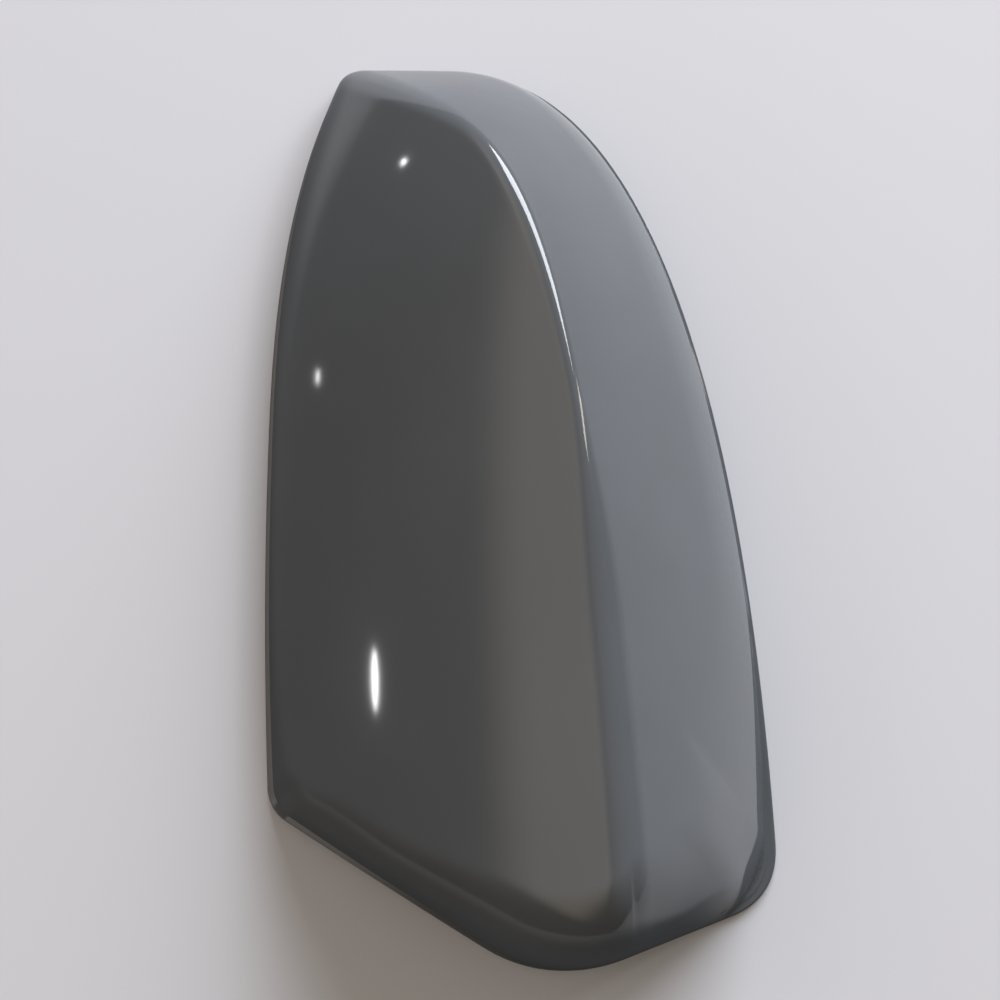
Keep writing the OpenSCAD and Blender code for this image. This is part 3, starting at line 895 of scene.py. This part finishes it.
pin_places = []
for level in (Y_TOP - PIN_FROM_TIP, PIN_FROM_NOSE - Y_TOP):
    place = np.array([float(lower_x(level)) + PIN_IN, level])
    web_low = skin_at(place, nearest_step(place), WALL) - PIN_ROOT
    pin_places.append((*place, web_low - PIN_L))
    for heading in (X_AXIS, Y_AXIS):
        thin_plates.append(web(place, heading, -PIN_WEB / 2, PIN_WEB / 2, web_low))
print(len(thin_plates), "thin plates, pins at", np.round(pin_places, 2).tolist())


# %% Thickening the outlines
def outline_mesh(name, outlines):
    """One flat face for each outline."""
    corners = [tuple(c * MM for c in corner) for outline in outlines for corner in outline]
    counts = np.cumsum([0] + [len(outline) for outline in outlines])
    mesh = bpy.data.meshes.new(name)
    mesh.from_pydata(corners, [], [tuple(range(a, b)) for a, b in zip(counts, counts[1:])])
    mesh.update()
    return mesh


def mark_bare(graph, geometry):
    """Marks all points as inside the shell, where there is no paint."""
    kind = {"data_type": "FLOAT", "domain": "POINT"}
    return graph.add("GeometryNodeStoreNamedAttribute", kind, geometry, None, "inside", 1.0)


PLATE_INPUTS = {"Thickness": RIB_T * MM, "Material": paint}
graph, given = new_tree("thicken_the_outlines", PLATE_INPUTS)
normal = graph.add("GeometryNodeInputNormal")
half = given["Thickness"] * -0.5
half_back = graph.add("ShaderNodeVectorMath", {"operation": "SCALE"}, normal, Scale=half)
back = graph.add("GeometryNodeSetPosition", None, given["Geometry"], Offset=half_back)
front = graph.add(
    "GeometryNodeExtrudeMesh", {"mode": "FACES"}, back,
    Offset_Scale=given["Thickness"], Individual=False,
)
turned = graph.add("GeometryNodeFlipFaces", None, back)
plates = graph.add("GeometryNodeJoinGeometry", None, front)
graph.tree.links.new(turned.socket, plates.socket.node.inputs[0])
closed = graph.add("GeometryNodeMergeByDistance", None, plates, Distance=1e-6)
finish_tree(graph, mark_bare(graph, closed), given["Material"])

PLATE_EDGE = 0.2
PLATES = {"thin_plates": (thin_plates, RIB_T), "tabs": (tabs, HOOK_T), "barbs": (barbs, HOOK_W)}
moulded = []
for name, (outlines, thickness) in PLATES.items():
    inputs = {"Thickness": thickness * MM, "Material": paint}
    moulded.append(grown(name, outline_mesh(name, outlines), graph, inputs, PLATE_EDGE))

# %% [markdown]
# ## Locating pins
# Two round pins find holes in the housing before the hooks catch. They could be two cylinders
# each, placed by hand. They are the same, so a tree builds one pin on its boss and puts it on
# two points, and a longer pin is one number.

# %% Pins
PIN_EDGE = 0.3
PIN_SIDES = 48
PIN_INPUTS = {
    "Pin radius": PIN_D / 2 * MM, "Pin length": PIN_L * MM,
    "Boss radius": (PIN_D / 2 + PIN_BOSS) * MM, "Boss height": PIN_ROOT * MM, "Material": paint,
}
graph, given = new_tree("locating_pins", PIN_INPUTS)


def standing(graph, radius, height, foot):
    """A closed cylinder that stands on a level."""
    round_bar = graph.add("GeometryNodeMeshCylinder", None, PIN_SIDES, 1, 1, radius, height)
    centre = graph.add("ShaderNodeCombineXYZ", None, 0.0, 0.0, height * 0.5 + foot)
    return graph.add("GeometryNodeTransform", None, round_bar, Translation=centre)


pin = standing(graph, given["Pin radius"], given["Pin length"] + given["Boss height"] * 0.5, 0.0)
boss = standing(graph, given["Boss radius"], given["Boss height"], given["Pin length"])
both = graph.add("GeometryNodeJoinGeometry", None, pin)
graph.tree.links.new(boss.socket, both.socket.node.inputs[0])
on_points = graph.add("GeometryNodeInstanceOnPoints", None, given["Geometry"], Instance=both)
real = graph.add("GeometryNodeRealizeInstances", None, on_points)
finish_tree(graph, mark_bare(graph, real), given["Material"])

pin_mesh = bpy.data.meshes.new("pin_points")
pin_mesh.from_pydata([tuple(c * MM for c in place) for place in pin_places], [], [])
moulded.append(grown("pins", pin_mesh, graph, PIN_INPUTS, PIN_EDGE))

# %% [markdown]
# ## One moulding
# Shell, hooks, ribs and pins come out of one mould, so their meshes are joined into one piece.
# A Boolean union would weld them as well, but it adds faces all over a fine skin for seams
# that nobody sees.

# %% Joining
for part in moulded:
    part.data.shade_smooth()
    part.data.set_sharp_from_angle(angle=SHARP_ANGLE)
together = [cover] + moulded
with bpy.context.temp_override(
    active_object=cover, object=cover, selected_objects=together, selected_editable_objects=together
):
    bpy.ops.object.join()
print("cover:", len(cover.data.polygons), "faces, materials", [m.name for m in cover.data.materials])

# %% [markdown]
# ## Floor, light and surroundings
# The cover lies on a pale table. Its clear coat mirrors the surroundings, so they shape the
# look as much as the paint does. Left of the picture the table ends and the room is dark, and
# that darkness is what the front face mirrors. A second, dark table would do it with a hard
# edge. Here the colour of the one table fades out, but not for rays that come straight from the
# camera, which see a plain pale floor all over.

# %% Floor
FLOOR_HALF = 0.6
FLOOR_COLOUR = (0.655, 0.66, 0.705, 1)
FAR_COLOUR = (0.02, 0.018, 0.015, 1)
FADE_FROM = 0.135
FADE_PER_METRE = 5.0
TABLE_ROUGH, TABLE_SHINE = 0.7, 0.15
near, far = -FLOOR_HALF, FLOOR_HALF
floor_mesh = bpy.data.meshes.new("floor")
corners = [(near, near, 0), (far, near, 0), (far, far, 0), (near, far, 0)]
floor_mesh.from_pydata(corners, [], [(0, 1, 2, 3)])
floor = bpy.data.objects.new("floor", floor_mesh)
bpy.context.scene.collection.objects.link(floor)
table_top = bpy.data.materials.new("table_top")
table_top.use_nodes = True
table_graph = Graph(table_top.node_tree)
table_shader = table_top.node_tree.nodes["Principled BSDF"]
to_the_left = dot(table_graph, table_graph.add("ShaderNodeTexCoord", out="Object"), (-1, 0, 0))
table_seen = table_graph.add("ShaderNodeLightPath", out="Is Camera Ray")
table_fade = smooth01((to_the_left - FADE_FROM) * FADE_PER_METRE) * (1 - table_seen)
table_colour = mixed(table_graph, FLOOR_COLOUR, FAR_COLOUR, table_fade)
table_top.node_tree.links.new(table_colour.socket, table_shader.inputs["Base Color"])
table_shader.inputs["Roughness"].default_value = TABLE_ROUGH
table_shader.inputs["Specular IOR Level"].default_value = TABLE_SHINE
floor_mesh.materials.append(table_top)
print("floor:", 2 * FLOOR_HALF, "m wide")

# %% [markdown]
# ## The room
# A picture of a real room could stand all round, but a few shades say as much: a dim dome that
# is lighter overhead, a warm wall low on the left that the front face mirrors along the crease,
# and the pale side of the window. Each is a smooth step of how far a direction reaches along an
# axis. The camera itself sees a plain light grey behind the table.

# %% Room
ROOM_SEEN = (0.72, 0.72, 0.72, 1)
HORIZON = (0.045, 0.036, 0.028, 1)
CEILING = (0.17, 0.14, 0.10, 1)
DOME_RISE = 1.7
WARM_WALL = (1.3, 1.14, 0.98, 1)
WALL_FOOT, WALL_EDGE = 0.46, 5.0
WALL_START, WALL_SPREAD = 0.2, 2.0
LIGHT_SIDE = (0.58, 0.57, 0.56, 1)
LIGHT_FROM, LIGHT_SPREAD = (0.75, 0.6, 0.3), 1.2
LIGHT_LOSS, LIGHT_RISE = 0.8, 2.5
room = bpy.data.worlds.new("room")
bpy.context.scene.world = room
room.use_nodes = True
room_graph = Graph(room.node_tree)
room.node_tree.nodes.clear()
seen = room_graph.add("ShaderNodeLightPath", out="Is Camera Ray")
# In a world, the first output of this node is the direction of the ray.
direction = room_graph.add("ShaderNodeTexCoord", out=0)
upward = dot(room_graph, direction, (0, 0, 1))
leftward = dot(room_graph, direction, (-1, 0, 0))
to_the_light = dot(room_graph, direction, LIGHT_FROM)
dome = mixed(room_graph, HORIZON, CEILING, smooth01(upward * DOME_RISE))
wall_height = smooth01((upward - leftward * WALL_FOOT) * WALL_EDGE)
wall = wall_height * smooth01((leftward - WALL_START) * WALL_SPREAD)
lit_dome = mixed(room_graph, dome, WARM_WALL, wall)
low_side = smooth01(to_the_light * LIGHT_SPREAD) * (1 - LIGHT_LOSS * smooth01(upward * LIGHT_RISE))
room_colour = mixed(room_graph, lit_dome, LIGHT_SIDE, low_side)
shown = mixed(room_graph, room_colour, ROOM_SEEN, seen)
background = room_graph.add("ShaderNodeBackground", None, shown)
room_output = room.node_tree.nodes.new("ShaderNodeOutputWorld")
room.node_tree.links.new(background.socket, room_output.inputs[0])
print("room:", len(room.node_tree.nodes), "nodes")

# %% [markdown]
# ## Lamps
# A large window stood to the right and beyond the tip. It lights the upper face and leaves the
# front face dark, and one large soft lamp does the same. A sun lamp would give hard shadows,
# which the photograph doesn't have. A narrow second lamp is the gap beside the window that
# draws the bright line along the crisp part of the crease.


# %% Lamps
def soft_lamp(name, place, target, size, strength, colour=(1, 1, 1), shape="RECTANGLE"):
    """A lamp. The strength is how brightly it lights a white card at the target."""
    lamp = bpy.data.lights.new(name, "AREA")
    lamp.shape = shape
    lamp.size, lamp.size_y = size[0] * MM, size[1] * MM
    distance = (Vector(place) - Vector(target)).length * MM
    lamp.energy = strength * math.pi**2 * distance**2
    lamp.color = colour
    item = bpy.data.objects.new(name, lamp)
    bpy.context.scene.collection.objects.link(item)
    aim(item, place, target)
    print(name + ":", round(lamp.energy, 2), "W at", round(distance, 2), "m")


soft_lamp("window", (1200, 2780, 1420), (0, 0, 20), (2900, 1400), 1.68, (0.945, 0.985, 1.045))
soft_lamp("pane", (1782, 1071, 1200), (14, 0, 62), (130, 1300), 0.10, (1.0, 0.94, 0.82))

# %% [markdown]
# ## Glints
# Small bright things in the room show as glints in the clear coat. White spots in the paint
# would stay in place when the view turns, and a glint doesn't. So each glint is a small lamp
# that stands along the mirrored line of sight from its place on the front face.

# %% Glints
GLINT_DISTANCE = 1500
GLINTS = {
    "glint_top": ((-28.4, 79.5, 34.0), (-0.827, 0.552, 0.103), (14, 18), 0.0016),
    "glint_middle": ((-50.1, 26.6, 20.6), (-0.954, 0.299, 0.024), (24, 10), 0.0010),
    "glint_low": ((-33.2, -51.3, 33.5), (-0.98, 0.059, 0.19), (84, 24), 0.0095),
}
for name, (seen_at, mirrored, size, strength) in GLINTS.items():
    place = [c + GLINT_DISTANCE * m for c, m in zip(seen_at, mirrored)]
    soft_lamp(name, place, seen_at, size, strength, shape="ELLIPSE")

# %% [markdown]
# ## Paint
# The cover is sprayed a plain mid grey and sealed with a clear coat. A Mix Shader of a matt and
# a glossy shader could do it, but the Principled shader's own coat keeps the two in balance at
# every angle. The grey has a very slight cloudiness and one dark speck, and the inside of the
# shell is bare dark plastic with a mist of overspray near the rim. On the steep rim wall and
# where it is seen at a slant, the photograph shows hardly any gloss, so the coat thins there.

# %% Paint
PAINT_COLOUR = (0.092, 0.100, 0.111, 1)
PAINT_LIGHT = (0.099, 0.108, 0.120, 1)
PLASTIC_COLOUR = (0.045, 0.046, 0.048, 1)
SPECK_COLOUR = (0.02, 0.02, 0.022, 1)
SPECK_AT = (0.0503, -0.1053, 0.0089)
SPECK_RADIUS = 0.0007
CLOUD_SCALE, CLOUD_DETAIL, CLOUD_START, CLOUD_EDGE = 22.0, 2.0, 0.35, 3.0
GRAIN_SCALE, GRAIN_DETAIL, GRAIN_DEPTH = 900.0, 1.0, 0.5
MIST_START, MIST_EDGE = 0.15, 1.6
PAINT_ROUGH, PLASTIC_ROUGH, CLOUD_ROUGH = 0.32, 0.55, 0.06
MIST_ON_COAT = 0.8
SLANT_START, SLANT_EDGE = 0.45, 2.4
COAT_ROUGH, COAT_IOR = 0.06, 1.5
paint.use_nodes = True
paint_graph = Graph(paint.node_tree)
shader = paint.node_tree.nodes["Principled BSDF"]
coordinates = paint_graph.add("ShaderNodeTexCoord", out="Object")


def noise(scale, detail):
    return paint_graph.add("ShaderNodeTexNoise", None, coordinates, None, scale, detail)


def painted_fact(name):
    """One of the facts that the net keeps on its points."""
    return paint_graph.add("ShaderNodeAttribute", {"attribute_name": name}, out="Fac")


# %% Colour of the paint
cloud = noise(CLOUD_SCALE, CLOUD_DETAIL)
grain = noise(GRAIN_SCALE, GRAIN_DETAIL)
mist = smooth01((painted_fact("inside") - MIST_START + (grain - 0.5) * GRAIN_DEPTH) * MIST_EDGE)
sprayed = mixed(paint_graph, PAINT_COLOUR, PAINT_LIGHT, smooth01((cloud - CLOUD_START) * CLOUD_EDGE))
from_speck = paint_graph.add(
    "ShaderNodeVectorMath", {"operation": "DISTANCE"}, coordinates, SPECK_AT, out="Value"
)
specked = mixed(paint_graph, sprayed, SPECK_COLOUR, is_less(from_speck, SPECK_RADIUS))
colour = mixed(paint_graph, specked, PLASTIC_COLOUR, mist)

# %% Gloss of the paint
roughness = mix(PAINT_ROUGH, PLASTIC_ROUGH, mist) + (cloud - 0.5) * CLOUD_ROUGH
facing = paint_graph.add("ShaderNodeLayerWeight", None, 0.5, out="Facing")
slanting = smooth01((facing - SLANT_START) * SLANT_EDGE)
dull = higher_of(slanting, painted_fact("brim")) * painted_fact("dull")
coat = (1 - MIST_ON_COAT * mist) * (1 - dull)
for socket, value in (("Base Color", colour), ("Roughness", roughness), ("Coat Weight", coat)):
    paint.node_tree.links.new(value.socket, shader.inputs[socket])
shader.inputs["Specular IOR Level"].default_value = 0.0
shader.inputs["Coat Roughness"].default_value = COAT_ROUGH
shader.inputs["Coat IOR"].default_value = COAT_IOR
print("paint:", len(paint.node_tree.nodes), "nodes")

# %% [markdown]
# ## Placing the piece
# The piece rides on the one body and stands for the imported solid, which is hidden.

# %% Finish
for piece in (cover,):
    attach(piece, "root")
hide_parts("mirror_cover")
bpy.context.scene.view_settings.view_transform = "Standard"
